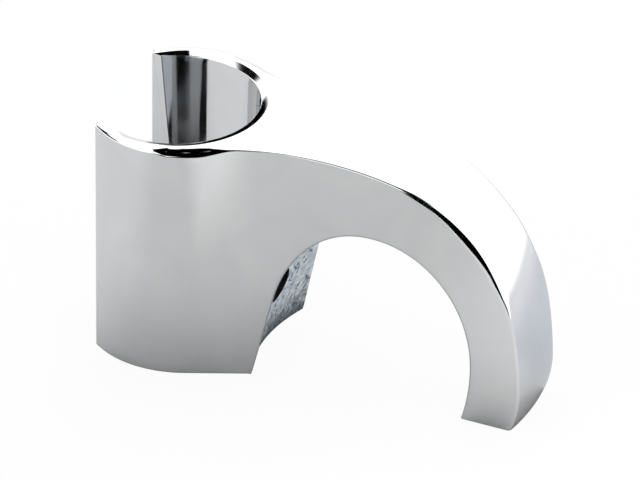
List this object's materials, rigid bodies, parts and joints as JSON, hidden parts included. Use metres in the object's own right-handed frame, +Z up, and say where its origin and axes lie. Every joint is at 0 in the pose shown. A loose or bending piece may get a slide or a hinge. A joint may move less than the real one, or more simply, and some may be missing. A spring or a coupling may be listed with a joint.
{
  "type": "shower head holder",
  "caption": "Chrome-plated cast hand shower holder: slotted cup with a tapered socket, slanted fixing seat with a screw hole, and an arched arm ending in a hook.",
  "frame": {"origin": "middle of the length, on the plane of symmetry, at the level of the lowest point, the outer edge of the hook's end", "axes": "+X from the slotted cup along the arm to the hook, +Z up along the socket's axis, Y = 0 is the plane of symmetry"},
  "size_m": [0.0636, 0.029, 0.0393],
  "materials": {
    "chrome_plate": "polished chrome plate, with the fixing seat left as cast"
  },
  "bodies": {
    "root": {"holder_body": "chrome_plate"}
  },
  "joints": []
}
